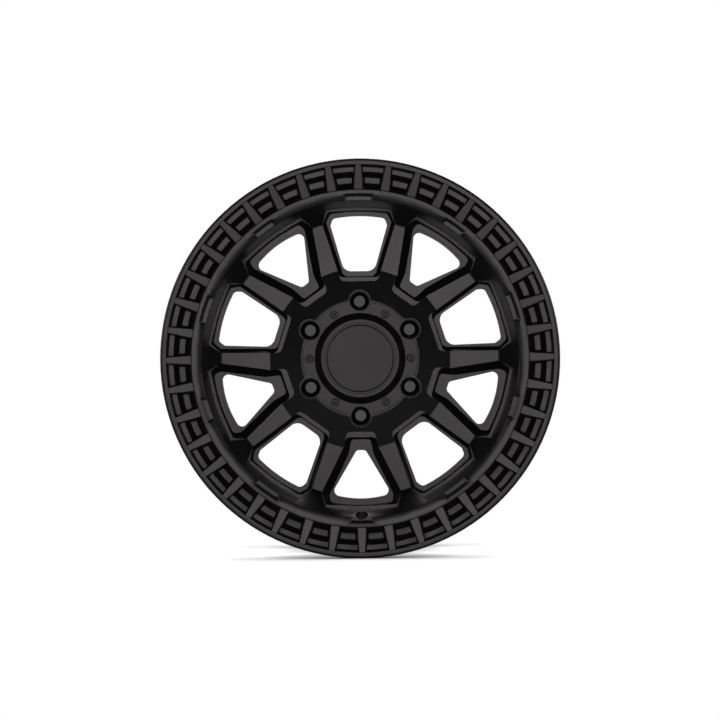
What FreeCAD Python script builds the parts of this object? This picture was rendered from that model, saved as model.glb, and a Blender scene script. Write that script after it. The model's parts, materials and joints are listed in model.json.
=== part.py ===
import FreeCAD, Part
import math
import os
import Sketcher

# All lengths in millimetres, all angles in degrees. Depths run rearward from the front lip plane.
SIZES = {
    # rim
    "outer_radius": 238.5,
    "bead_radius": 218.3,
    "flange_gap": 215.9,
    "front_ring_depth": 24.0,
    "rear_flange_depth": 12.0,
    "rear_flange_width": 11.0,
    "rim_offset": 25.0,
    "bead_seat_width": 20.0,
    "bead_seat_drop": 1.75,
    "hump_drop": 0.6,
    "hump_reach": 4.0,
    "ledge_drop": 5.0,
    "ledge_reach": 11.0,
    "drop_radius": 201.0,
    "drop_start": 52.0,
    "drop_length": 45.0,
    "well_rise": 16.0,
    "well_radius": 209.0,
    "barrel_wall": 7.0,
    # ribbed outer ring
    "lip_inner_radius": 231.2,
    "lip_wall_run": 1.8,
    "shelf_depth": 9.0,
    "shelf_inner_radius": 223.0,
    "floor_depth": 16.0,
    "floor_outer_radius": 216.8,
    "floor_inner_radius": 208.9,
    "ring_face_depth": 2.5,
    "ring_outer_radius": 201.4,
    "ring_crease_radius": 195.4,
    "ring_inner_radius": 189.9,
    "ring_inner_depth": 4.0,
    "rib_count": 40,
    "rib_inner_radius": 199.5,
    "rib_outer_radius": 233.5,
    "rib_shoulder_outer": 3.9,
    "rib_shoulder_inner": 6.2,
    "rib_ridge_outer": 1.1,
    "rib_ridge_inner": 2.6,
    "rib_base_flare": 3.0,
    "rib_ridge_depth": 4.2,
    "rib_bevel_depth": 1.7,
    "rib_tilt": 6.0,
    "wide_notch_half": 18.5,
    "small_notch_half": 15.7,
    "notch_radius": 197.2,
    "notch_depth": 4.2,
    "notch_slant": 3.6,
    # spokes
    "face_depth": 66.0,
    "face_inner_radius": 109.2,
    "face_outer_radius": 169.3,
    "spoke_back_depth": 90.0,
    "spoke_back_radius": 112.0,
    "window_pairs": 5,
    "terrace_depth": 10.0,
    "step_depth": 5.0,
    # hub
    "cone_top_depth": 54.3,
    "cone_top_radius": 71.2,
    "cap_seat_depth": 59.0,
    "register_radius": 52.5,
    "register_end": 72.0,
    "bore_radius": 56.05,
    "bore_lead": 1.5,
    "pad_radius": 86.0,
    "pad_foot_radius": 96.0,
    "lug_count": 6,
    "lug_circle": 139.7,
    "lug_hole_radius": 6.75,
    "lug_counterbore_radius": 10.75,
    "lug_seat_depth": 84.0,
    "lug_seat_cone": 30.0,
    "turret_radius": 13.2,
    "turret_top_depth": 50.0,
    # valve
    "valve_radius": 5.65,
    "valve_length": 12.0,
    "valve_counterbore": 7.5,
    "valve_tilt": 21.0,
    "valve_exit_radius": 207.0,
    "valve_exit_depth": 65.5,
    # centre cap
    "cap_flange_radius": 69.6,
    "cap_flange_depth": 53.0,
    "cap_base_radius": 54.6,
    "cap_top_depth": 30.0,
    "cap_top_radius": 47.3,
    "cap_recess_radius": 42.7,
    "cap_recess_depth": 3.0,
    "cap_wall": 3.0,
    "cap_spigot_radius": 52.2,
    "cap_spigot_length": 7.0,
    "scallop_radius": 14.4,
    "disc_radius": 40.6,
    "disc_thickness": 3.4,
    "disc_chamfer": 1.4,
    # cap screws
    "screw_count": 6,
    "screw_circle_radius": 61.3,
    "screw_head_radius": 4.7,
    "screw_head_height": 3.8,
    "screw_pocket_radius": 5.7,
    "screw_pocket_depth": 3.5,
    "screw_clearance": 3.3,
    "screw_shank_radius": 3.0,
    "screw_shank_length": 12.5,
    "screw_thread_gap": 0.05,
    "screw_socket_flats": 4.2,
    "screw_socket_depth": 2.2,
}


class Size:
    """A value together with the sheet expression that yields it."""

    def __init__(self, value, text):
        self.value = float(value)
        self.text = text

    @staticmethod
    def of(item):
        return item if isinstance(item, Size) else Size(item, repr(float(item)))

    def __add__(self, other):
        other = Size.of(other)
        return Size(self.value + other.value, f"({self.text} + {other.text})")

    def __sub__(self, other):
        other = Size.of(other)
        return Size(self.value - other.value, f"({self.text} - {other.text})")

    def __mul__(self, other):
        other = Size.of(other)
        return Size(self.value * other.value, f"({self.text} * {other.text})")

    def __truediv__(self, other):
        other = Size.of(other)
        return Size(self.value / other.value, f"({self.text} / {other.text})")

    def __radd__(self, other):
        return Size.of(other) + self

    def __rsub__(self, other):
        return Size.of(other) - self

    def __rmul__(self, other):
        return Size.of(other) * self

    def __rtruediv__(self, other):
        return Size.of(other) / self

    def __neg__(self):
        return Size(-self.value, f"(-1 * {self.text})")

    def sin(self):
        return Size(math.sin(math.radians(self.value)), f"sin({self.text} * 1deg)")

    def cos(self):
        return Size(math.cos(math.radians(self.value)), f"cos({self.text} * 1deg)")

    def tan(self):
        return Size(math.tan(math.radians(self.value)), f"tan({self.text} * 1deg)")


doc = FreeCAD.newDocument("alloy_wheel")
sheet = doc.addObject("Spreadsheet::Sheet", "Sizes")
for row, (alias, number) in enumerate(SIZES.items(), start=1):
    sheet.set(f"A{row}", alias)
    sheet.set(f"B{row}", repr(number))
    sheet.setAlias(f"B{row}", alias)
doc.recompute()


def size(alias):
    return Size(SIZES[alias], f"Sizes.{alias}")


def bind(item, prop, amount):
    item.setExpression(prop, Size.of(amount).text)


def origin_item(body, role):
    return next(item for item in body.Origin.OriginFeatures if item.Role == role)


class SketchRules:
    """Gathers the constraints of one sketch, adds them together and binds their values."""

    def __init__(self, sketch):
        self.sketch = sketch
        self.rules = []
        self.amounts = {}

    def add(self, *terms):
        self.rules.append(Sketcher.Constraint(*terms))

    def add_bound(self, amount, *terms):
        self.amounts[len(self.rules)] = amount
        self.add(*terms, amount.value)

    def place(self, geo, x, y):
        """Fix a point at a bound position."""
        for kind, amount, axis in (("DistanceX", x, -2), ("DistanceY", y, -1)):
            if abs(amount.value) < 1e-9:
                self.add("PointOnObject", geo, 1, axis)
            else:
                self.add_bound(amount, kind, -1, 1, geo, 1)

    def apply(self):
        indices = self.sketch.addConstraint(self.rules)
        for order, amount in self.amounts.items():
            bind(self.sketch, f"Constraints[{indices[order]}]", amount)


def draw_outline(sketch, corners):
    """Draw a closed outline through bound corners, each with an optional bound rounding."""
    corners = [(Size.of(x), Size.of(y), Size.of(rounding)) for x, y, rounding in corners]
    spots = [FreeCAD.Vector(x.value, y.value, 0) for x, y, _ in corners]
    count = len(spots)
    entries, exits, arcs = [], [], []
    for here, spot in enumerate(spots):
        rounding = corners[here][2].value
        back = (spots[here - 1] - spot).normalize()
        ahead = (spots[(here + 1) % count] - spot).normalize()
        if rounding <= 0:
            entries.append(spot)
            exits.append(spot)
            arcs.append(None)
            continue
        half = back.getAngle(ahead) / 2
        reach = rounding / math.tan(half)
        centre = spot + (back + ahead).normalize() * (rounding / math.sin(half))
        entries.append(spot + back * reach)
        exits.append(spot + ahead * reach)
        turns_left = back.cross(ahead).z < 0
        arcs.append((centre, rounding, turns_left))
    lines = []
    for here in range(count):
        segment = Part.LineSegment(exits[here], entries[(here + 1) % count])
        lines.append(sketch.addGeometry(segment))
    up = FreeCAD.Vector(0, 0, 1)
    rules = SketchRules(sketch)
    for here in range(count):
        x, y, rounding = corners[here]
        before, after = lines[here - 1], lines[here]
        if arcs[here] is None:
            rules.add("Coincident", before, 2, after, 1)
            rules.place(after, x, y)
            continue
        centre, radius, turns_left = arcs[here]
        first, last = (entries[here], exits[here]) if turns_left else (exits[here], entries[here])
        start = math.atan2(first.y - centre.y, first.x - centre.x)
        stop = math.atan2(last.y - centre.y, last.x - centre.x)
        bow = Part.ArcOfCircle(Part.Circle(centre, up, radius), start, stop)
        arc = sketch.addGeometry(bow)
        near, far = (1, 2) if turns_left else (2, 1)
        rules.add("Tangent", before, 2, arc, near)
        rules.add("Tangent", arc, far, after, 1)
        rules.add_bound(rounding, "Radius", arc)
        mark = sketch.addGeometry(Part.Point(spots[here]), True)
        rules.place(mark, x, y)
        rules.add("PointOnObject", mark, 1, before)
        rules.add("PointOnObject", mark, 1, after)
    rules.apply()


def mirrored(half, crown=None):
    """Complete an outline from its right half, with an optional corner on the centre line."""
    left = [(-Size.of(x), y, rounding) for x, y, rounding in reversed(half)]
    middle = [crown] if crown else []
    return list(half) + middle + left


def new_sketch(body, name, role):
    sketch = body.newObject("Sketcher::SketchObject", name)
    sketch.AttachmentSupport = [(origin_item(body, role), "")]
    sketch.MapMode = "FlatFace"
    return sketch


def profile_sketch(body, name, corners):
    """Half section: depth runs along the sketch's x, radius along its y."""
    sketch = new_sketch(body, name, "YZ_Plane")
    draw_outline(sketch, corners)
    return sketch


def face_sketch(body, name, depth, corners, turn=None, tilt=None):
    """Outline seen from the front at a depth, turned round the axle or tilted about x."""
    sketch = new_sketch(body, name, "XZ_Plane")
    axis = FreeCAD.Vector(1, 0, 0) if tilt else FreeCAD.Vector(0, 0, 1)
    angle = Size.of(tilt or turn or 0.0)
    spin = FreeCAD.Rotation(axis, angle.value)
    depth = Size.of(depth)
    sketch.AttachmentOffset = FreeCAD.Placement(FreeCAD.Vector(0, 0, -depth.value), spin)
    bind(sketch, "AttachmentOffset.Base.z", -depth)
    if tilt or turn:
        bind(sketch, "AttachmentOffset.Rotation.Angle", angle)
    draw_outline(sketch, corners)
    return sketch


def circle_sketch(body, name, depth, x, y, radius):
    sketch = new_sketch(body, name, "XZ_Plane")
    depth, x, y = Size.of(depth), Size.of(x), Size.of(y)
    bind(sketch, "AttachmentOffset.Base.z", -depth)
    middle = FreeCAD.Vector(x.value, y.value, 0)
    ring = sketch.addGeometry(Part.Circle(middle, FreeCAD.Vector(0, 0, 1), radius.value))
    mark = sketch.addGeometry(Part.Point(middle), True)
    rules = SketchRules(sketch)
    rules.add_bound(radius, "Radius", ring)
    rules.place(mark, x, y)
    rules.add("Coincident", mark, 1, ring, 3)
    rules.apply()
    return sketch


def revolve(body, name, sketch):
    turned = body.newObject("PartDesign::Revolution", name)
    turned.Profile = sketch
    turned.ReferenceAxis = (sketch, ["H_Axis"])
    turned.Angle = 360
    turned.Refine = False
    body.Tip = turned
    return turned


def pocket(body, name, sketch, depth=None):
    """Cut rearward from a sketch, to a bound depth or right through."""
    cut = body.newObject("PartDesign::Pocket", name)
    cut.Profile = sketch
    cut.Refine = False
    if depth is None:
        cut.Type = "ThroughAll"
    else:
        cut.Type = "Length"
        bind(cut, "Length", depth)
    body.Tip = cut
    return cut


def loft(body, name, kind, first, *others):
    shape = body.newObject(f"PartDesign::{kind}Loft", name)
    shape.Profile = first
    shape.Sections = list(others)
    shape.Ruled = True
    shape.Refine = False
    body.Tip = shape
    return shape


def around(body, name, features, count):
    ring = body.newObject("PartDesign::PolarPattern", name)
    ring.Originals = features
    ring.Axis = (origin_item(body, "Y_Axis"), [""])
    ring.Angle = 360
    ring.Refine = False
    bind(ring, "Occurrences", count)
    body.Tip = ring
    return ring


front_to_pad = size("front_ring_depth") + size("flange_gap") / 2 - size("rim_offset")


def new_body(name):
    """A body modelled by depth behind the lip, shifted so that the origin is at the hub face."""
    body = doc.addObject("PartDesign::Body", name)
    body.Label = name
    bind(body, "Placement.Base.y", -front_to_pad)
    return body


lug_radius = size("lug_circle") / 2
gap_front = size("front_ring_depth")
gap_rear = gap_front + size("flange_gap")
rear_end = gap_rear + size("rear_flange_depth")
drop_front = gap_front + size("drop_start")
drop_rear = drop_front + size("drop_length")
hump_radius = size("bead_radius") - size("hump_drop")
seat_end_radius = size("bead_radius") - size("bead_seat_drop")
hump_at = size("bead_seat_width") + size("hump_reach")
ledge_at = size("bead_seat_width") + size("ledge_reach")
well_inner = size("well_radius") - size("barrel_wall")
drop_inner = size("drop_radius") - size("barrel_wall")
barrel_bend = size("barrel_wall") / 2

# Casting: half section of rim, ring, spoke disc and hub
casting = new_body("wheel_casting")
section = profile_sketch(casting, "casting_section", [
    (0.0, size("outer_radius"), 3.0),
    (gap_front, size("outer_radius"), 8.0),
    (gap_front, size("bead_radius"), 6.5),
    (gap_front + size("bead_seat_width"), seat_end_radius, 0.0),
    (gap_front + hump_at, hump_radius, 3.0),
    (gap_front + ledge_at, size("bead_radius") - size("ledge_drop"), 4.0),
    (drop_front, size("drop_radius"), 10.0),
    (drop_rear, size("drop_radius"), 10.0),
    (drop_rear + size("well_rise"), size("well_radius"), 10.0),
    (gap_rear - ledge_at, size("well_radius"), 4.0),
    (gap_rear - hump_at, hump_radius, 3.0),
    (gap_rear - size("bead_seat_width"), seat_end_radius, 0.0),
    (gap_rear, size("bead_radius"), 6.5),
    (gap_rear, size("outer_radius"), 6.0),
    (rear_end, size("outer_radius"), 4.0),
    (rear_end, size("outer_radius") - size("rear_flange_width"), 3.0),
    (gap_rear - barrel_bend, size("bead_radius") - size("barrel_wall"), 8.0),
    (gap_rear - ledge_at, well_inner, 8.0),
    (drop_rear + size("well_rise") + barrel_bend, well_inner, 10.0),
    (drop_rear + barrel_bend, drop_inner, 10.0),
    (size("spoke_back_depth"), drop_inner, 14.0),
    (size("spoke_back_depth"), size("pad_foot_radius"), 6.0),
    (front_to_pad, size("pad_radius"), 2.0),
    (front_to_pad, size("bore_radius") + size("bore_lead"), 0.0),
    (front_to_pad - size("bore_lead"), size("bore_radius"), 0.0),
    (size("register_end"), size("bore_radius"), 0.0),
    (size("register_end"), size("register_radius"), 0.0),
    (size("cap_seat_depth"), size("register_radius"), 0.0),
    (size("cap_seat_depth"), size("cone_top_radius"), 0.0),
    (size("cone_top_depth"), size("cone_top_radius"), 0.8),
    (size("face_depth"), size("face_inner_radius"), 4.0),
    (size("face_depth"), size("face_outer_radius"), 3.0),
    (size("ring_inner_depth"), size("ring_inner_radius"), 1.2),
    (size("ring_face_depth"), size("ring_crease_radius"), 0.0),
    (size("ring_face_depth"), size("ring_outer_radius"), 0.8),
    (size("floor_depth"), size("floor_inner_radius"), 2.0),
    (size("floor_depth"), size("floor_outer_radius"), 2.0),
    (size("shelf_depth"), size("shelf_inner_radius"), 0.8),
    (size("shelf_depth"), size("lip_inner_radius") - size("lip_wall_run"), 1.5),
    (0.0, size("lip_inner_radius"), 0.8),
])
revolve(casting, "casting_turned", section)

# Windows: terraces flush with the spoke faces, then stepped down to a through opening
face_depth = size("face_depth")
terrace_floor = face_depth + size("terrace_depth")
step_floor = terrace_floor + size("step_depth")
half_pitch = 180.0 / size("window_pairs")

wide_mouth = mirrored([
    (22.3, 93.7, 6.5),
    (44.3, 163.2, 3.0),
    (38.8, 180.8, 4.0),
], (0.0, 184.5, 180.0))
wide_rim = mirrored([
    (23.8, 98.5, 6.0),
    (44.3, 163.2, 3.0),
    (37.5, 178.2, 4.0),
], (0.0, 180.3, 180.0))
wide_ledge = mirrored([
    (19.0, 100.1, 7.0),
    (39.7, 165.6, 4.0),
    (34.5, 176.2, 5.0),
], (0.0, 179.4, 175.0))
wide_hole = mirrored([
    (18.4, 106.2, 12.0),
    (34.5, 162.0, 5.0),
    (32.0, 170.8, 6.0),
], (0.0, 175.9, 170.0))
narrow_mouth = mirrored([
    (17.0, 88.6, 6.5),
    (21.2, 107.4, 10.0),
    (48.5, 162.6, 4.0),
    (43.7, 180.2, 4.0),
], (0.0, 185.7, 180.0))
narrow_rim = mirrored([
    (18.4, 95.5, 6.0),
    (21.2, 107.4, 10.0),
    (48.5, 162.6, 4.0),
    (43.2, 177.0, 4.0),
], (0.0, 181.2, 180.0))
narrow_ledge = mirrored([
    (11.6, 98.6, 4.0),
    (15.2, 116.3, 12.0),
    (38.8, 165.6, 5.0),
    (37.6, 175.0, 5.0),
], (0.0, 179.5, 175.0))
narrow_step = mirrored([
    (8.0, 106.5, 4.5),
    (38.4, 168.0, 7.0),
], (0.0, 176.6, 115.0))
narrow_hole = mirrored([
    (5.3, 111.7, 5.0),
    (37.0, 165.6, 7.0),
], (0.0, 173.6, 115.0))

wide_cuts = [
    pocket(casting, "wide_terrace", face_sketch(casting, "wide_mouth", 0.0, wide_mouth), face_depth),
    loft(
        casting, "wide_flank", "Subtractive",
        face_sketch(casting, "wide_rim", face_depth, wide_rim),
        face_sketch(casting, "wide_ledge", terrace_floor, wide_ledge),
    ),
    pocket(casting, "wide_opening", face_sketch(casting, "wide_hole", face_depth, wide_hole)),
]
around(casting, "wide_windows", wide_cuts, size("window_pairs"))
narrow_cuts = [
    pocket(
        casting, "narrow_terrace",
        face_sketch(casting, "narrow_mouth", 0.0, narrow_mouth, turn=half_pitch), face_depth,
    ),
    loft(
        casting, "narrow_flank", "Subtractive",
        face_sketch(casting, "narrow_rim", face_depth, narrow_rim, turn=half_pitch),
        face_sketch(casting, "narrow_ledge", terrace_floor, narrow_ledge, turn=half_pitch),
    ),
    pocket(
        casting, "narrow_lower",
        face_sketch(casting, "narrow_step", face_depth, narrow_step, turn=half_pitch),
        step_floor - face_depth,
    ),
    pocket(
        casting, "narrow_opening",
        face_sketch(casting, "narrow_hole", face_depth, narrow_hole, turn=half_pitch),
    ),
]
around(casting, "narrow_windows", narrow_cuts, size("window_pairs"))

# Notches in the inner edge of the ring, one at each window
notch_foot = size("ring_face_depth") + size("notch_depth")
notch_clear = size("ring_inner_radius") - 6.0


def notch(name, half_width, turn=None):
    top = mirrored([
        (half_width, notch_clear, 0.0),
        (half_width, size("notch_radius") - half_width * half_width / 400.0, 1.5),
    ], (0.0, size("notch_radius"), 150.0))
    foot_half = half_width - size("notch_slant")
    foot_radius = size("notch_radius") - size("notch_slant")
    foot = mirrored([
        (foot_half, notch_clear, 0.0),
        (foot_half, foot_radius - half_width * half_width / 400.0, 1.5),
    ], (0.0, foot_radius, 150.0))
    upper = face_sketch(casting, f"{name}_top", size("ring_face_depth"), top, turn=turn)
    lower = face_sketch(casting, f"{name}_foot", notch_foot, foot, turn=turn)
    return loft(casting, name, "Subtractive", upper, lower)


wide_notch = notch("wide_notch", size("wide_notch_half"))
around(casting, "wide_notches", [wide_notch], size("window_pairs"))
small_notch = notch("small_notch", size("small_notch_half"), half_pitch)
around(casting, "small_notches", [small_notch], size("window_pairs"))

# Lug turrets and lug holes
turret_foot = size("cap_seat_depth") + 4.0
turret_sketch = circle_sketch(casting, "turret_ring", turret_foot, 0.0, lug_radius, size("turret_radius"))
turret = casting.newObject("PartDesign::Pad", "turret")
turret.Profile = turret_sketch
bind(turret, "Length", turret_foot - size("turret_top_depth"))
casting.Tip = turret
around(casting, "turrets", [turret], size("lug_count"))
seat_run = (size("lug_counterbore_radius") - size("lug_hole_radius")) / size("lug_seat_cone").tan()
above_turret = size("turret_top_depth") - 2.0
counterbore_sketch = circle_sketch(
    casting, "lug_counterbore_ring", above_turret, 0.0, lug_radius, size("lug_counterbore_radius")
)
counterbore = pocket(casting, "lug_counterbore", counterbore_sketch, size("lug_seat_depth") - above_turret)
seat_sketch = circle_sketch(
    casting, "lug_seat_ring", size("lug_seat_depth"), 0.0, lug_radius, size("lug_counterbore_radius")
)
seat_end = circle_sketch(
    casting, "lug_seat_end", size("lug_seat_depth") + seat_run, 0.0, lug_radius, size("lug_hole_radius")
)
lug_seat = loft(casting, "lug_seat", "Subtractive", seat_sketch, seat_end)
hole_sketch = circle_sketch(
    casting, "lug_hole_ring", size("lug_seat_depth"), 0.0, lug_radius, size("lug_hole_radius")
)
lug_hole = pocket(casting, "lug_hole", hole_sketch)
around(casting, "lug_holes", [counterbore, lug_seat, lug_hole], size("lug_count"))

# Tapped holes for the cap screws
screw_radius = size("screw_circle_radius")
tapped_sketch = circle_sketch(
    casting, "tapped_ring", size("cap_seat_depth"), screw_radius, 0.0,
    size("screw_shank_radius") + size("screw_thread_gap"),
)
tapped = pocket(casting, "tapped_hole", tapped_sketch, size("screw_shank_length") - 1.0)
around(casting, "tapped_holes", [tapped], size("screw_count"))

# Valve hole at the foot of the wheel, drilled from the front at a tilt
valve_tilt = size("valve_tilt")
valve_run = size("valve_exit_depth")


def drill(name, radius, start, length):
    """Cut a tilted round hole; start is measured back along its axis from the rim side."""
    cut = casting.newObject("PartDesign::SubtractiveCylinder", name)
    cut.Placement = FreeCAD.Placement(
        FreeCAD.Vector(0, 0, 0), FreeCAD.Rotation(FreeCAD.Vector(1, 0, 0), -90.0 - valve_tilt.value)
    )
    bind(cut, "Placement.Base.y", size("valve_exit_depth") - start * valve_tilt.cos())
    bind(cut, "Placement.Base.z", start * valve_tilt.sin() - size("valve_exit_radius"))
    bind(cut, "Radius", radius)
    bind(cut, "Height", length)
    casting.Tip = cut
    return cut


drill("valve_hole", size("valve_radius"), size("valve_length") * 2.0, size("valve_length") * 3.5)
drill(
    "valve_counterbore", size("valve_counterbore"),
    valve_run * 1.2, valve_run * 1.2 - size("valve_length"),
)

# Ribs: a drafted body with a bevelled roof, repeated round the ring
rib_plane = size("rib_ridge_depth") + size("rib_inner_radius") * size("rib_tilt").tan()
shoulder_plane = rib_plane + size("rib_bevel_depth")


def rib_corners(outer_half, inner_half):
    half = [
        (inner_half, size("rib_inner_radius"), 0.0),
        (outer_half, size("rib_outer_radius"), 0.0),
    ]
    return mirrored(half)


shoulder_outer = size("rib_shoulder_outer")
shoulder_inner = size("rib_shoulder_inner")
flare = size("rib_base_flare")
base = rib_corners(shoulder_outer + flare, shoulder_inner + flare)
shoulder = rib_corners(shoulder_outer, shoulder_inner)
ridge = rib_corners(size("rib_ridge_outer"), size("rib_ridge_inner"))
rib_tilt = size("rib_tilt")
base_depth = size("floor_depth") + 1.0
rib_base = face_sketch(casting, "rib_base", base_depth, base)
rib_shoulder = face_sketch(casting, "rib_shoulder", shoulder_plane, shoulder, tilt=rib_tilt)
rib_ridge = face_sketch(casting, "rib_ridge", rib_plane, ridge, tilt=rib_tilt)
rib = loft(casting, "rib", "Additive", rib_base, rib_shoulder, rib_ridge)
around(casting, "ribs", [rib], size("rib_count"))

# Centre cap: hollow dome with a flange
cap = new_body("centre_cap")
recess_floor = size("cap_top_depth") + size("cap_recess_depth")
under_top = recess_floor + size("cap_wall")
spigot_end = size("cap_seat_depth") + size("cap_spigot_length")
spigot_inner = size("cap_spigot_radius") - size("cap_wall")
cap_section = profile_sketch(cap, "cap_section", [
    (recess_floor, 0.0, 0.0),
    (recess_floor, size("cap_recess_radius"), 0.0),
    (size("cap_top_depth"), size("cap_recess_radius"), 0.6),
    (size("cap_top_depth"), size("cap_top_radius"), 1.2),
    (size("cap_flange_depth"), size("cap_base_radius"), 0.6),
    (size("cap_flange_depth"), size("cap_flange_radius"), 0.8),
    (size("cap_seat_depth"), size("cap_flange_radius"), 0.0),
    (size("cap_seat_depth"), size("cap_spigot_radius"), 0.0),
    (spigot_end, size("cap_spigot_radius"), 0.0),
    (spigot_end, spigot_inner, 0.0),
    (size("cap_flange_depth"), spigot_inner, 3.0),
    (under_top, size("cap_top_radius") - size("cap_wall"), 3.0),
    (under_top, 0.0, 0.0),
])
revolve(cap, "cap_turned", cap_section)
scallop_sketch = circle_sketch(
    cap, "scallop_ring", size("cap_flange_depth") - 1.0, 0.0, lug_radius, size("scallop_radius")
)
scallop = pocket(cap, "scallop", scallop_sketch)
around(cap, "scallops", [scallop], size("lug_count"))
pocket_sketch = circle_sketch(
    cap, "screw_pocket_ring", size("cap_flange_depth") - 1.0, screw_radius, 0.0, size("screw_pocket_radius")
)
screw_pocket = pocket(cap, "screw_pocket", pocket_sketch, size("screw_pocket_depth") + 1.0)
clearance_sketch = circle_sketch(
    cap, "screw_clearance_ring", size("cap_flange_depth"), screw_radius, 0.0, size("screw_clearance")
)
clearance = pocket(cap, "screw_clearance_hole", clearance_sketch)
around(cap, "screw_pockets", [screw_pocket, clearance], size("screw_count"))

# Plain disc in the recess of the cap
disc = new_body("cap_disc")
disc_top = recess_floor - size("disc_thickness")
disc_section = profile_sketch(disc, "disc_section", [
    (recess_floor, 0.0, 0.0),
    (recess_floor, size("disc_radius"), 0.0),
    (disc_top + size("disc_chamfer"), size("disc_radius"), 0.0),
    (disc_top, size("disc_radius") - size("disc_chamfer"), 0.0),
    (disc_top, 0.0, 0.0),
])
revolve(disc, "disc_turned", disc_section)

# Cap screws: head, shank and hexagon socket
screws = new_body("cap_screws")
screws.AllowCompound = True
head_seat = size("cap_flange_depth") + size("screw_pocket_depth")
head_sketch = circle_sketch(screws, "head_ring", head_seat, screw_radius, 0.0, size("screw_head_radius"))
head = screws.newObject("PartDesign::Pad", "screw_head")
head.Profile = head_sketch
bind(head, "Length", size("screw_head_height"))
screws.Tip = head
shank_end = head_seat + size("screw_shank_length")
shank_sketch = circle_sketch(screws, "shank_ring", shank_end, screw_radius, 0.0, size("screw_shank_radius"))
shank = screws.newObject("PartDesign::Pad", "screw_shank")
shank.Profile = shank_sketch
bind(shank, "Length", size("screw_shank_length") + size("screw_head_height") / 4)
screws.Tip = shank
head_top = head_seat - size("screw_head_height")
corner = size("screw_socket_flats") / 2 / math.cos(math.radians(30.0))
hexagon = [
    (screw_radius + corner * math.cos(math.radians(60.0 * side)),
     corner * math.sin(math.radians(60.0 * side)), 0.0)
    for side in range(6)
]
socket_sketch = face_sketch(screws, "socket_hexagon", head_top - 1.0, hexagon)
socket = pocket(screws, "screw_socket", socket_sketch, size("screw_socket_depth") + 1.0)
around(screws, "all_screws", [head, shank, socket], size("screw_count"))

doc.recompute()

# Checks, then one file for each sub-part
for item in doc.Objects:
    if "Invalid" in item.State or "Error" in item.State:
        raise RuntimeError(f"{item.Name} did not compute: {item.State}")

os.makedirs("parts", exist_ok=True)
for body, solids in ((casting, 1), (cap, 1), (disc, 1), (screws, SIZES["screw_count"])):
    if body.Shape.isNull() or not body.Shape.isValid():
        raise RuntimeError(f"{body.Label} has no valid shape")
    if len(body.Shape.Solids) != solids:
        raise RuntimeError(f"{body.Label} has {len(body.Shape.Solids)} solids")
    body.Shape.exportStep(f"parts/{body.Label}.step")
    print(body.Label, round(body.Shape.Volume), body.Shape.BoundBox)
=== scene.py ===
"""Looks of a satin black alloy wheel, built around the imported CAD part.

The wheel stands upright with its axle along Y and its face towards -Y. All lengths are in metres.
"""

from __future__ import annotations

import json
import logging
import math
from dataclasses import dataclass
from enum import Enum

import bmesh
import bpy
from mathutils import Matrix, Vector

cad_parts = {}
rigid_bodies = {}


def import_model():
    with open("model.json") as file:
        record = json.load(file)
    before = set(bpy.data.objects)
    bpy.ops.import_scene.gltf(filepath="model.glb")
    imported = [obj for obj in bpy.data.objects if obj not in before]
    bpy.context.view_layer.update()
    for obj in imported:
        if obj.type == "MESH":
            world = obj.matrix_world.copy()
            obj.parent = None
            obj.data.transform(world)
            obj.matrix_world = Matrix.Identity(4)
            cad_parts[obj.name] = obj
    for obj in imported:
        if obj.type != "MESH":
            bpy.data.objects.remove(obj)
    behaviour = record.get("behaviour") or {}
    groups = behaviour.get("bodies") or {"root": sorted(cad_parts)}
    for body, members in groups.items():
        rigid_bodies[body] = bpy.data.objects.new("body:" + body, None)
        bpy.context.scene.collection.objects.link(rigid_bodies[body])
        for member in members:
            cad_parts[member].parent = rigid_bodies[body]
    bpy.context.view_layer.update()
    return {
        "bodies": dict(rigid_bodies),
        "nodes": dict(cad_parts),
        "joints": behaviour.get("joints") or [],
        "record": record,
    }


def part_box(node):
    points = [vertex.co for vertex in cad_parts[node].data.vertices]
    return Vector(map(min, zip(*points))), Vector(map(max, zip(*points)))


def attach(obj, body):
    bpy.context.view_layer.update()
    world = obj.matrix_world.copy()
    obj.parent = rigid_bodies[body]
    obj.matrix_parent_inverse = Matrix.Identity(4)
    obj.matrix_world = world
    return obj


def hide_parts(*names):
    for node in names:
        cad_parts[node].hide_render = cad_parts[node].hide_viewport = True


LOG = logging.getLogger("alloy_wheel")
ROOT_BODY = "root"
WHITE = (1.0, 1.0, 1.0, 1.0)
IMPORTED_NORMALS = "custom_normal"
HEXAGON = 6
GRAIN_DETAIL = 2.0
GRAIN_STRENGTH = 0.6
CLOUD_SCALE = 14.0
CLOUD_DETAIL = 4.0
SHADE_SAMPLES = 16
# Share of the painted shade spot's half angle within which the spot is fully grey.
SHADE_SPOT_EDGE = 0.97


class Node(str, Enum):
    """CAD nodes of the part."""

    CASTING = "wheel_casting"
    CAP = "centre_cap"
    DISC = "cap_disc"
    SCREWS = "cap_screws"


class Slot(str, Enum):
    """Material slots of the record."""

    CASTING = "casting"
    CAP = "cap"
    DISC = "disc"
    SCREWS = "screws"


@dataclass(frozen=True)
class Finish:
    """One painted or moulded surface.

    Attributes:
        name: Name of the material.
        colour: Linear base colour.
        roughness: Mean roughness of the surface.
        grain: Size of the coat's fine texture, in metres.
        relief: Height of that texture, in metres.
        wander: Share by which roughness changes over the surface.
    """

    name: str
    colour: tuple[float, float, float]
    roughness: float
    grain: float
    relief: float
    wander: float


FINISHES: dict[Node, Finish] = {
    Node.CASTING: Finish("powder_coat", (0.012, 0.012, 0.0125), 0.33, 0.0011, 0.000012, 0.10),
    Node.CAP: Finish("cap_plastic", (0.013, 0.013, 0.0135), 0.37, 0.0008, 0.000006, 0.06),
    Node.DISC: Finish("disc_plastic", (0.013, 0.013, 0.0135), 0.39, 0.0007, 0.000004, 0.05),
    Node.SCREWS: Finish("black_oxide", (0.016, 0.016, 0.016), 0.32, 0.0005, 0.000003, 0.08),
}


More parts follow.
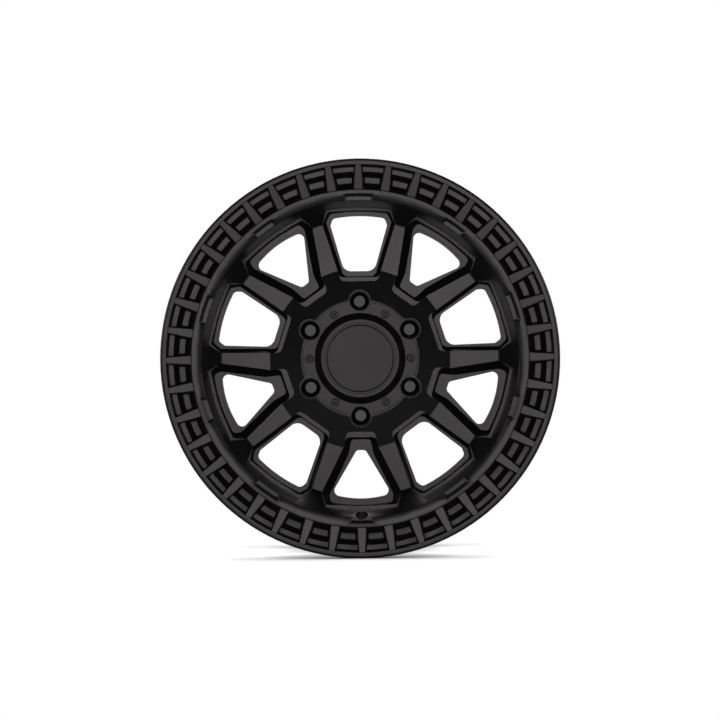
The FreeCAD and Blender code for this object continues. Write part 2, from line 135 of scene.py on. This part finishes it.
@dataclass(frozen=True)
class Shading:
    """How a CAD mesh is prepared for smooth shading.

    Attributes:
        weld: Distance at which loose corners are joined.
        crease: Least angle, in radians, of an edge that stays sharp in shading.
    """

    weld: float = 2e-6
    crease: float = math.radians(24.0)


@dataclass(frozen=True)
class LugMouths:
    """Mouths of the lug holes, which the photo shows with hardly any rim.

    Attributes:
        count: Number of lug holes.
        circle_radius: Radius of the circle that their centres lie on.
        bore_radius: Radius of the counterbore in the CAD.
        mouth_radius: Radius that its mouth flares to.
        turret_depth: From the front lip back to the top of the turrets.
        slack: Distance within which a corner counts as part of the mouth.
    """

    count: int = 6
    circle_radius: float = 0.06985
    bore_radius: float = 0.01075
    mouth_radius: float = 0.0126
    turret_depth: float = 0.050
    slack: float = 0.0001


@dataclass(frozen=True)
class RibTops:
    """Tops of the ring's ribs, which the photo shows flat and nearly as wide as the ribs.

    Attributes:
        count: Number of ribs.
        inner_radius: Where the ribs start.
        outer_radius: Where the ribs end.
        ridge_inner: Half width of the CAD's ridge where the ribs start.
        ridge_outer: Half width of the CAD's ridge where the ribs end.
        flat_inner: Half width of the flat top where the ribs start.
        flat_outer: Half width of the flat top where the ribs end.
        ridge_depth: From the front lip back to the ridge where the ribs start.
        tilt: Angle, in radians, by which the ridge comes forward on its way out.
        slack: Distance within which a corner counts as part of the ridge.
    """

    count: int = 40
    inner_radius: float = 0.1995
    outer_radius: float = 0.2335
    ridge_inner: float = 0.0026
    ridge_outer: float = 0.0011
    flat_inner: float = 0.0051
    flat_outer: float = 0.0029
    ridge_depth: float = 0.0042
    tilt: float = math.radians(6.0)
    slack: float = 0.00012

    def share(self, reach: float) -> float:
        """Return how far along the ribs a place lies, from 0 to 1."""
        return (reach - self.inner_radius) / (self.outer_radius - self.inner_radius)

    def ridge(self, reach: float) -> float:
        """Return the half width of the CAD's ridge at a reach from the axle."""
        return self.ridge_inner + (self.ridge_outer - self.ridge_inner) * self.share(reach)

    def flat(self, reach: float) -> float:
        """Return the half width of the flat top at a reach from the axle."""
        return self.flat_inner + (self.flat_outer - self.flat_inner) * self.share(reach)

    def depth(self, reach: float) -> float:
        """Return the depth of the ridge behind the lip at a reach from the axle."""
        return self.ridge_depth - (reach - self.inner_radius) * math.tan(self.tilt)


@dataclass(frozen=True)
class ScrewSizes:
    """Sizes of one cap screw.

    Attributes:
        count: Number of screws.
        head_radius: Radius of the head.
        head_height: Height of the head.
        chamfer: Width of the chamfer round the top of the head.
        shank_radius: Radius of the shank.
        socket_flats: Distance across the flats of the hexagon socket.
        socket_depth: Depth of that socket.
        socket_flare: The socket's mouth, as a share of its radius.
        socket_floor: The socket's floor, as a share of its radius.
        overlap: How far joined or cutting solids reach past each other.
        steps: Sides of the head and the shank.
    """

    count: int = 6
    head_radius: float = 0.0047
    head_height: float = 0.0038
    chamfer: float = 0.0012
    shank_radius: float = 0.0030
    socket_flats: float = 0.0042
    socket_depth: float = 0.0022
    socket_flare: float = 1.2
    socket_floor: float = 0.45
    overlap: float = 0.0002
    steps: int = 48


@dataclass(frozen=True)
class Softbox:
    """One square softbox, aimed at the middle of the wheel.

    Attributes:
        name: Name of the light.
        spot: Where it stands, seen from the middle of the front lip plane.
        side: Side of the square.
        power: Power, in watts.
        colour: Colour of its light.
    """

    name: str
    spot: tuple[float, float, float]
    side: float
    power: float
    colour: tuple[float, float, float] = (1.0, 0.915, 0.93)


SOFTBOXES: tuple[Softbox, ...] = (
    Softbox("front_softbox", (0.0, -3.9, 0.12), 1.1, 21.0),
    Softbox("left_softbox", (-2.4, -0.3, 0.7), 1.3, 14.0),
    Softbox("right_softbox", (2.4, -0.3, 0.7), 1.3, 14.0),
    Softbox("back_softbox", (0.0, 2.3, 2.6), 1.6, 26.0),
)


@dataclass(frozen=True)
class Stage:
    """Camera, lights and floor.

    Attributes:
        distance: From the camera to the plane of the front lip.
        frame_width: Width of the picture at that plane.
        sensor: Width of the camera's sensor, in millimetres.
        aim_x: Sideways place of the camera.
        aim_z: Height of the camera above the axle.
        roll: Turn of the camera about its own view, in radians.
        sky: Strength of the surroundings, as the object sees them.
        floor_glow: Strength of the floor, as the object sees it.
        floor_size: Side of the floor.
        shade_reach: Reach of the painted contact shadow on the floor.
        painted_shade_level: Level of the painted shade, a grey spot in the backdrop straight behind the
            hub.
        painted_shade_angle: Half angle of that spot of painted shade about the axle, in radians.
    """

    distance: float = 3.5
    frame_width: float = 0.8575
    sensor: float = 36.0
    aim_x: float = -0.0002
    aim_z: float = -0.0019
    roll: float = math.radians(-0.6)
    sky: float = 0.05
    floor_glow: float = 0.15
    floor_size: float = 8.0
    shade_reach: float = 0.05
    painted_shade_level: float = 0.07
    painted_shade_angle: float = math.radians(1.4)


class MaterialMaker:
    """Makes the procedural materials."""

    def coat(self, finish: Finish) -> bpy.types.Material:
        """Build a satin coat with a fine texture.

        Args:
            finish: The surface to build.

        Returns:
            The new material.
        """
        material = bpy.data.materials.new(finish.name)
        material.use_nodes = True
        nodes = material.node_tree.nodes
        links = material.node_tree.links
        shader = nodes["Principled BSDF"]
        shader.inputs["Base Color"].default_value = (*finish.colour, 1.0)
        shader.inputs["Roughness"].default_value = finish.roughness

        place = nodes.new("ShaderNodeTexCoord")
        grain = nodes.new("ShaderNodeTexNoise")
        grain.inputs["Scale"].default_value = 1.0 / finish.grain
        grain.inputs["Detail"].default_value = GRAIN_DETAIL
        links.new(place.outputs["Object"], grain.inputs["Vector"])
        bump = nodes.new("ShaderNodeBump")
        bump.inputs["Strength"].default_value = GRAIN_STRENGTH
        bump.inputs["Distance"].default_value = finish.relief
        links.new(grain.outputs["Fac"], bump.inputs["Height"])
        links.new(bump.outputs["Normal"], shader.inputs["Normal"])

        cloud = nodes.new("ShaderNodeTexNoise")
        cloud.inputs["Scale"].default_value = CLOUD_SCALE
        cloud.inputs["Detail"].default_value = CLOUD_DETAIL
        links.new(place.outputs["Object"], cloud.inputs["Vector"])
        spread = nodes.new("ShaderNodeMapRange")
        spread.inputs["To Min"].default_value = finish.roughness * (1.0 - finish.wander)
        spread.inputs["To Max"].default_value = finish.roughness * (1.0 + finish.wander)
        links.new(cloud.outputs["Fac"], spread.inputs["Value"])
        links.new(spread.outputs["Result"], shader.inputs["Roughness"])
        return material

    def floor(self, stage: Stage) -> bpy.types.Material:
        """Build a white floor with a painted contact shadow: it darkens only where the object stands
        close to it.

        Args:
            stage: Strengths and reach to use.

        Returns:
            The new material.
        """
        material = bpy.data.materials.new("white_floor_painted_shadow")
        material.use_nodes = True
        nodes = material.node_tree.nodes
        links = material.node_tree.links
        nodes.clear()
        # Painted shadow: ambient occlusion darkens the floor's own glow where the wheel stands close to
        # it; no lamp casts it.
        shade = nodes.new("ShaderNodeAmbientOcclusion")
        shade.inputs["Distance"].default_value = stage.shade_reach
        shade.samples = SHADE_SAMPLES
        ray = nodes.new("ShaderNodeLightPath")
        strength = nodes.new("ShaderNodeMapRange")
        strength.inputs["To Min"].default_value = stage.floor_glow
        strength.inputs["To Max"].default_value = 1.0
        links.new(ray.outputs["Is Camera Ray"], strength.inputs["Value"])
        glow = nodes.new("ShaderNodeEmission")
        links.new(shade.outputs["Color"], glow.inputs["Color"])
        links.new(strength.outputs["Result"], glow.inputs["Strength"])
        output = nodes.new("ShaderNodeOutputMaterial")
        links.new(glow.outputs["Emission"], output.inputs["Surface"])
        return material


class ScrewRing:
    """Makes the ring of cap screws with Geometry Nodes."""

    def __init__(self, sizes: ScrewSizes) -> None:
        """Keep the sizes.

        Args:
            sizes: Sizes of one screw.
        """
        self.sizes = sizes

    def build(self, low: Vector, high: Vector, material: bpy.types.Material) -> bpy.types.Object:
        """Build the screws inside the box of their CAD node.

        Args:
            low: Lowest corner of the CAD screws.
            high: Highest corner of the CAD screws.
            material: Finish of the screws.

        Returns:
            The screws as one plain mesh object.
        """
        group = self.group()
        piece = bpy.data.objects.new("cap_screws_looks", bpy.data.meshes.new("cap_screws_seed"))
        bpy.context.scene.collection.objects.link(piece)
        nodes = piece.modifiers.new("screw_ring", "NODES")
        nodes.node_group = group
        values = {
            "Count": self.sizes.count,
            "Ring Radius": high.x - self.sizes.head_radius,
            "Head Radius": self.sizes.head_radius,
            "Head Height": self.sizes.head_height,
            "Head Top": -low.y,
            "Chamfer": self.sizes.chamfer,
            "Shank Radius": self.sizes.shank_radius,
            "Shank End": -high.y,
            "Socket Radius": self.sizes.socket_flats / 2 / math.cos(math.radians(30.0)),
            "Socket Depth": self.sizes.socket_depth,
            "Material": material,
        }
        for item in group.interface.items_tree:
            if item.in_out == "INPUT" and item.name in values:
                nodes[item.identifier] = values[item.name]
        return plain_mesh(piece)

    def group(self) -> bpy.types.NodeTree:
        """Build the node group: one screw, set on every point of a circle.

        Returns:
            The new node group. Its local Z axis is turned to -Y at the end.
        """
        tree = bpy.data.node_groups.new("screw_ring", "GeometryNodeTree")
        self.sockets(tree)
        nodes = tree.nodes
        links = tree.links
        given = nodes.new("NodeGroupInput").outputs

        head_foot = self.calc(tree, "SUBTRACT", given["Head Top"], given["Head Height"])
        shoulder = self.calc(tree, "SUBTRACT", given["Head Top"], given["Chamfer"])
        crown_radius = self.calc(tree, "SUBTRACT", given["Head Radius"], given["Chamfer"])
        shank_top = self.calc(tree, "ADD", head_foot, self.sizes.overlap)
        socket_foot = self.calc(tree, "SUBTRACT", given["Head Top"], given["Socket Depth"])
        socket_top = self.calc(tree, "ADD", given["Head Top"], self.sizes.overlap)
        mouth = self.calc(tree, "MULTIPLY", given["Socket Radius"], self.sizes.socket_flare)
        floor = self.calc(tree, "MULTIPLY", given["Socket Radius"], self.sizes.socket_floor)

        steps = self.sizes.steps
        head = self.frustum(tree, given["Head Radius"], given["Head Radius"], head_foot, shoulder, steps)
        head_top = given["Head Top"]
        crown = self.frustum(tree, given["Head Radius"], crown_radius, shoulder, head_top, steps)
        shank_radius = given["Shank Radius"]
        shank = self.frustum(tree, shank_radius, shank_radius, given["Shank End"], shank_top, steps)
        socket = self.frustum(tree, floor, mouth, socket_foot, socket_top, HEXAGON)

        solid = nodes.new("GeometryNodeMeshBoolean")
        solid.operation = "UNION"
        for mesh in (head, crown, shank):
            links.new(mesh, solid.inputs["Mesh 2"])
        cut = nodes.new("GeometryNodeMeshBoolean")
        cut.operation = "DIFFERENCE"
        links.new(solid.outputs["Mesh"], cut.inputs["Mesh 1"])
        links.new(socket, cut.inputs["Mesh 2"])

        ring = nodes.new("GeometryNodeMeshCircle")
        links.new(given["Count"], ring.inputs["Vertices"])
        links.new(given["Ring Radius"], ring.inputs["Radius"])
        spread = nodes.new("GeometryNodeInstanceOnPoints")
        links.new(ring.outputs["Mesh"], spread.inputs["Points"])
        links.new(cut.outputs["Mesh"], spread.inputs["Instance"])
        turn = nodes.new("GeometryNodeTransform")
        turn.inputs["Rotation"].default_value = (math.pi / 2, 0.0, 0.0)
        links.new(spread.outputs["Instances"], turn.inputs["Geometry"])
        real = nodes.new("GeometryNodeRealizeInstances")
        links.new(turn.outputs["Geometry"], real.inputs["Geometry"])
        paint = nodes.new("GeometryNodeSetMaterial")
        links.new(real.outputs["Geometry"], paint.inputs["Geometry"])
        links.new(given["Material"], paint.inputs["Material"])
        links.new(paint.outputs["Geometry"], nodes.new("NodeGroupOutput").inputs["Geometry"])
        return tree

    def sockets(self, tree: bpy.types.NodeTree) -> None:
        """Name the inputs and the output of the node group.

        Args:
            tree: The node group.
        """
        face = tree.interface
        face.new_socket("Count", in_out="INPUT", socket_type="NodeSocketInt")
        for name in (
            "Ring Radius",
            "Head Radius",
            "Head Height",
            "Head Top",
            "Chamfer",
            "Shank Radius",
            "Shank End",
            "Socket Radius",
            "Socket Depth",
        ):
            face.new_socket(name, in_out="INPUT", socket_type="NodeSocketFloat")
        face.new_socket("Material", in_out="INPUT", socket_type="NodeSocketMaterial")
        face.new_socket("Geometry", in_out="OUTPUT", socket_type="NodeSocketGeometry")

    def calc(
        self, tree: bpy.types.NodeTree, operation: str, first: bpy.types.NodeSocket, second: object
    ) -> bpy.types.NodeSocket:
        """Add one sum to the node group.

        Args:
            tree: The node group.
            operation: What to do with the two values.
            first: Socket with the first value.
            second: Socket with the second value, or the value itself.

        Returns:
            The socket with the result.
        """
        node = tree.nodes.new("ShaderNodeMath")
        node.operation = operation
        tree.links.new(first, node.inputs[0])
        if isinstance(second, bpy.types.NodeSocket):
            tree.links.new(second, node.inputs[1])
        else:
            node.inputs[1].default_value = second
        return node.outputs["Value"]

    def frustum(
        self,
        tree: bpy.types.NodeTree,
        foot_radius: bpy.types.NodeSocket,
        top_radius: bpy.types.NodeSocket,
        foot: bpy.types.NodeSocket,
        top: bpy.types.NodeSocket,
        sides: int,
    ) -> bpy.types.NodeSocket:
        """Add an upright cylinder or cut-off cone to the node group.

        Args:
            tree: The node group.
            foot_radius: Socket with the radius of its lower end.
            top_radius: Socket with the radius of its upper end.
            foot: Socket with the height of its lower end.
            top: Socket with the height of its upper end.
            sides: Number of sides.

        Returns:
            The socket with the mesh.
        """
        mesh = tree.nodes.new("GeometryNodeMeshCone")
        mesh.inputs["Vertices"].default_value = sides
        tree.links.new(foot_radius, mesh.inputs["Radius Bottom"])
        tree.links.new(top_radius, mesh.inputs["Radius Top"])
        tree.links.new(self.calc(tree, "SUBTRACT", top, foot), mesh.inputs["Depth"])
        lift = tree.nodes.new("ShaderNodeCombineXYZ")
        tree.links.new(foot, lift.inputs["Z"])
        place = tree.nodes.new("GeometryNodeTransform")
        tree.links.new(mesh.outputs["Mesh"], place.inputs["Geometry"])
        tree.links.new(lift.outputs["Vector"], place.inputs["Translation"])
        return place.outputs["Geometry"]


class WheelLooks:
    """Dresses the CAD nodes of the wheel."""

    def __init__(self, frame: dict, shading: Shading) -> None:
        """Keep the frame to work on.

        Args:
            shading: How the CAD meshes are prepared.
        """
        self.nodes: dict[str, bpy.types.Object] = frame["nodes"]
        self.shading = shading
        self.maker = MaterialMaker()

    def dress(self) -> None:
        """Replace each CAD node by a piece in its own finish."""
        for node, finish in FINISHES.items():
            material = self.maker.coat(finish)
            if node is Node.SCREWS:
                piece = ScrewRing(ScrewSizes()).build(*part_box(node.value), material)
            else:
                piece = self.cad_copy(node, material)
            piece = self.shade(piece)
            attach(piece, ROOT_BODY)
            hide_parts(node.value)
            LOG.info("%s: %d faces", piece.name, len(piece.data.polygons))

    def cad_copy(self, node: Node, material: bpy.types.Material) -> bpy.types.Object:
        """Copy a CAD node with welded corners and, on the casting, flared lug mouths.

        Args:
            node: The CAD node to copy.
            material: Finish of the copy.

        Returns:
            The new object, at the origin.
        """
        mesh = self.nodes[node.value].data.copy()
        mesh.name = f"{node.value}_looks"
        work = bmesh.new()
        work.from_mesh(mesh)
        bmesh.ops.remove_doubles(work, verts=work.verts, dist=self.shading.weld)
        if node is Node.CASTING:
            lip_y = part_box(node.value)[0].y
            self.flare_mouths(work, LugMouths(), lip_y)
            self.flatten_ribs(work, RibTops(), lip_y)
        work.to_mesh(mesh)
        work.free()
        if IMPORTED_NORMALS in mesh.attributes:
            mesh.attributes.remove(mesh.attributes[IMPORTED_NORMALS])
        mesh.materials.clear()
        mesh.materials.append(material)
        piece = bpy.data.objects.new(mesh.name, mesh)
        bpy.context.scene.collection.objects.link(piece)
        return piece

    def flare_mouths(self, work: bmesh.types.BMesh, mouths: LugMouths, lip_y: float) -> None:
        """Widen the mouth of each lug counterbore at the top of its turret.

        Args:
            work: The casting's mesh.
            mouths: Sizes and places of the mouths.
            lip_y: Place of the front lip along the axle.
        """
        top = lip_y + mouths.turret_depth
        for index in range(mouths.count):
            angle = 2 * math.pi * index / mouths.count
            middle = Vector((math.sin(angle), 0.0, math.cos(angle))) * mouths.circle_radius
            for vert in work.verts:
                out = Vector((vert.co.x - middle.x, 0.0, vert.co.z - middle.z))
                at_top = abs(vert.co.y - top) < mouths.slack
                if at_top and abs(out.length - mouths.bore_radius) < mouths.slack:
                    wide = middle + out.normalized() * mouths.mouth_radius
                    vert.co = Vector((wide.x, vert.co.y, wide.z))

    def flatten_ribs(self, work: bmesh.types.BMesh, tops: RibTops, lip_y: float) -> None:
        """Widen the ridge of each rib to a flat top, by turning its corners about the axle.

        Args:
            work: The casting's mesh.
            tops: Sizes and places of the rib tops.
            lip_y: Place of the front lip along the axle.
        """
        step = 2 * math.pi / tops.count
        moved = 0
        for vert in work.verts:
            radius = math.hypot(vert.co.x, vert.co.z)
            angle = math.atan2(vert.co.x, vert.co.z)
            middle = round(angle / step) * step
            reach = radius * math.cos(angle - middle)
            across = radius * math.sin(angle - middle)
            on_ridge = abs(abs(across) - tops.ridge(reach)) < tops.slack
            on_plane = abs(vert.co.y - lip_y - tops.depth(reach)) < tops.slack
            if on_ridge and on_plane and 0.0 <= tops.share(reach) <= 1.0:
                turned = middle + math.copysign(math.asin(tops.flat(reach) / radius), across)
                vert.co.x = radius * math.sin(turned)
                vert.co.z = radius * math.cos(turned)
                moved += 1
        LOG.info("rib tops: %d corners moved", moved)

    def shade(self, piece: bpy.types.Object) -> bpy.types.Object:
        """Shade a piece smooth between its creases, by the larger faces.

        Args:
            piece: The piece to shade.

        Returns:
            The same piece, with a plain mesh.
        """
        piece.data.shade_smooth()
        piece.data.set_sharp_from_angle(angle=self.shading.crease)
        weight = piece.modifiers.new("by_area", "WEIGHTED_NORMAL")
        weight.keep_sharp = True
        return plain_mesh(piece)


class StageBuilder:
    """Sets up camera, lights, surroundings and floor."""

    def __init__(self, stage: Stage, lip_y: float, floor_z: float) -> None:
        """Keep the settings.

        Args:
            stage: Camera and light settings.
            lip_y: Place of the front lip plane along the axle.
            floor_z: Height of the floor.
        """
        self.stage = stage
        self.lip_y = lip_y
        self.floor_z = floor_z

    def build(self) -> None:
        """Build everything that isn't part of the object."""
        self.camera()
        for softbox in SOFTBOXES:
            self.light(softbox)
        self.world()
        self.floor()
        bpy.context.scene.view_settings.view_transform = "Standard"

    def camera(self) -> None:
        """Place the camera on the axle, in front of the wheel."""
        stage = self.stage
        lens = bpy.data.cameras.new("camera")
        lens.sensor_width = stage.sensor
        lens.lens = stage.sensor * stage.distance / stage.frame_width
        lens.dof.use_dof = False
        camera = bpy.data.objects.new("camera", lens)
        spot = Vector((stage.aim_x, self.lip_y - stage.distance, stage.aim_z))
        upright = Matrix.Rotation(math.pi / 2, 4, "X")
        camera.matrix_world = Matrix.Translation(spot) @ upright @ Matrix.Rotation(stage.roll, 4, "Z")
        bpy.context.scene.collection.objects.link(camera)
        bpy.context.scene.camera = camera

    def light(self, softbox: Softbox) -> None:
        """Place one softbox, out of the camera's sight.

        Args:
            softbox: The light to place.
        """
        lamp = bpy.data.lights.new(softbox.name, "AREA")
        lamp.shape = "SQUARE"
        lamp.size = softbox.side
        lamp.energy = softbox.power
        lamp.color = softbox.colour
        light = bpy.data.objects.new(softbox.name, lamp)
        light.visible_camera = False
        spot = Vector((0.0, self.lip_y, 0.0)) + Vector(softbox.spot)
        turn = (-spot).to_track_quat("-Z", "Y").to_matrix().to_4x4()
        light.matrix_world = Matrix.Translation(spot) @ turn
        bpy.context.scene.collection.objects.link(light)

    def world(self) -> None:
        """Show white to the camera, with a grey spot of painted shade straight behind the hub, and a dim
        studio to the object.
        """
        world = bpy.data.worlds.new("studio")
        world.use_nodes = True
        nodes = world.node_tree.nodes
        links = world.node_tree.links
        back = nodes["Background"]
        back.inputs["Color"].default_value = WHITE
        way = nodes.new("ShaderNodeTexCoord")
        along = nodes.new("ShaderNodeSeparateXYZ")
        links.new(way.outputs["Generated"], along.inputs["Vector"])
        # Painted shade: a grey spot in the white backdrop straight behind the hub darkens what the
        # camera sees through the lug holes.
        shade_spot = nodes.new("ShaderNodeMapRange")
        shade_spot.inputs["From Min"].default_value = math.cos(self.stage.painted_shade_angle)
        shade_spot.inputs["From Max"].default_value = math.cos(self.stage.painted_shade_angle * SHADE_SPOT_EDGE)
        shade_spot.inputs["To Min"].default_value = 1.0
        shade_spot.inputs["To Max"].default_value = self.stage.painted_shade_level
        links.new(along.outputs["Y"], shade_spot.inputs["Value"])
        ray = nodes.new("ShaderNodeLightPath")
        strength = nodes.new("ShaderNodeMapRange")
        strength.inputs["To Min"].default_value = self.stage.sky
        links.new(ray.outputs["Is Camera Ray"], strength.inputs["Value"])
        links.new(shade_spot.outputs["Result"], strength.inputs["To Max"])
        links.new(strength.outputs["Result"], back.inputs["Strength"])
        bpy.context.scene.world = world

    def floor(self) -> None:
        """Lay the floor under the wheel."""
        half = self.stage.floor_size / 2
        mesh = bpy.data.meshes.new("floor")
        corners = [(-half, -half), (half, -half), (half, half), (-half, half)]
        mesh.from_pydata([(x, y, self.floor_z) for x, y in corners], [], [(0, 1, 2, 3)])
        floor = bpy.data.objects.new("floor", mesh)
        floor.data.materials.append(MaterialMaker().floor(self.stage))
        bpy.context.scene.collection.objects.link(floor)


def plain_mesh(piece: bpy.types.Object) -> bpy.types.Object:
    """Turn a piece with modifiers into a plain mesh.

    Args:
        piece: The piece to convert.

    Returns:
        The same piece, with its modifiers applied.
    """
    graph = bpy.context.evaluated_depsgraph_get()
    mesh = bpy.data.meshes.new_from_object(piece.evaluated_get(graph))
    mesh.name = piece.name
    piece.modifiers.clear()
    piece.data = mesh
    return piece


def main() -> None:
    """Build the scene."""
    logging.basicConfig(level=logging.INFO)
    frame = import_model()
    low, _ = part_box(Node.CASTING.value)
    WheelLooks(frame, Shading()).dress()
    StageBuilder(Stage(), lip_y=low.y, floor_z=low.z).build()
    LOG.info("scene built")


if __name__ == "__main__":
    main()
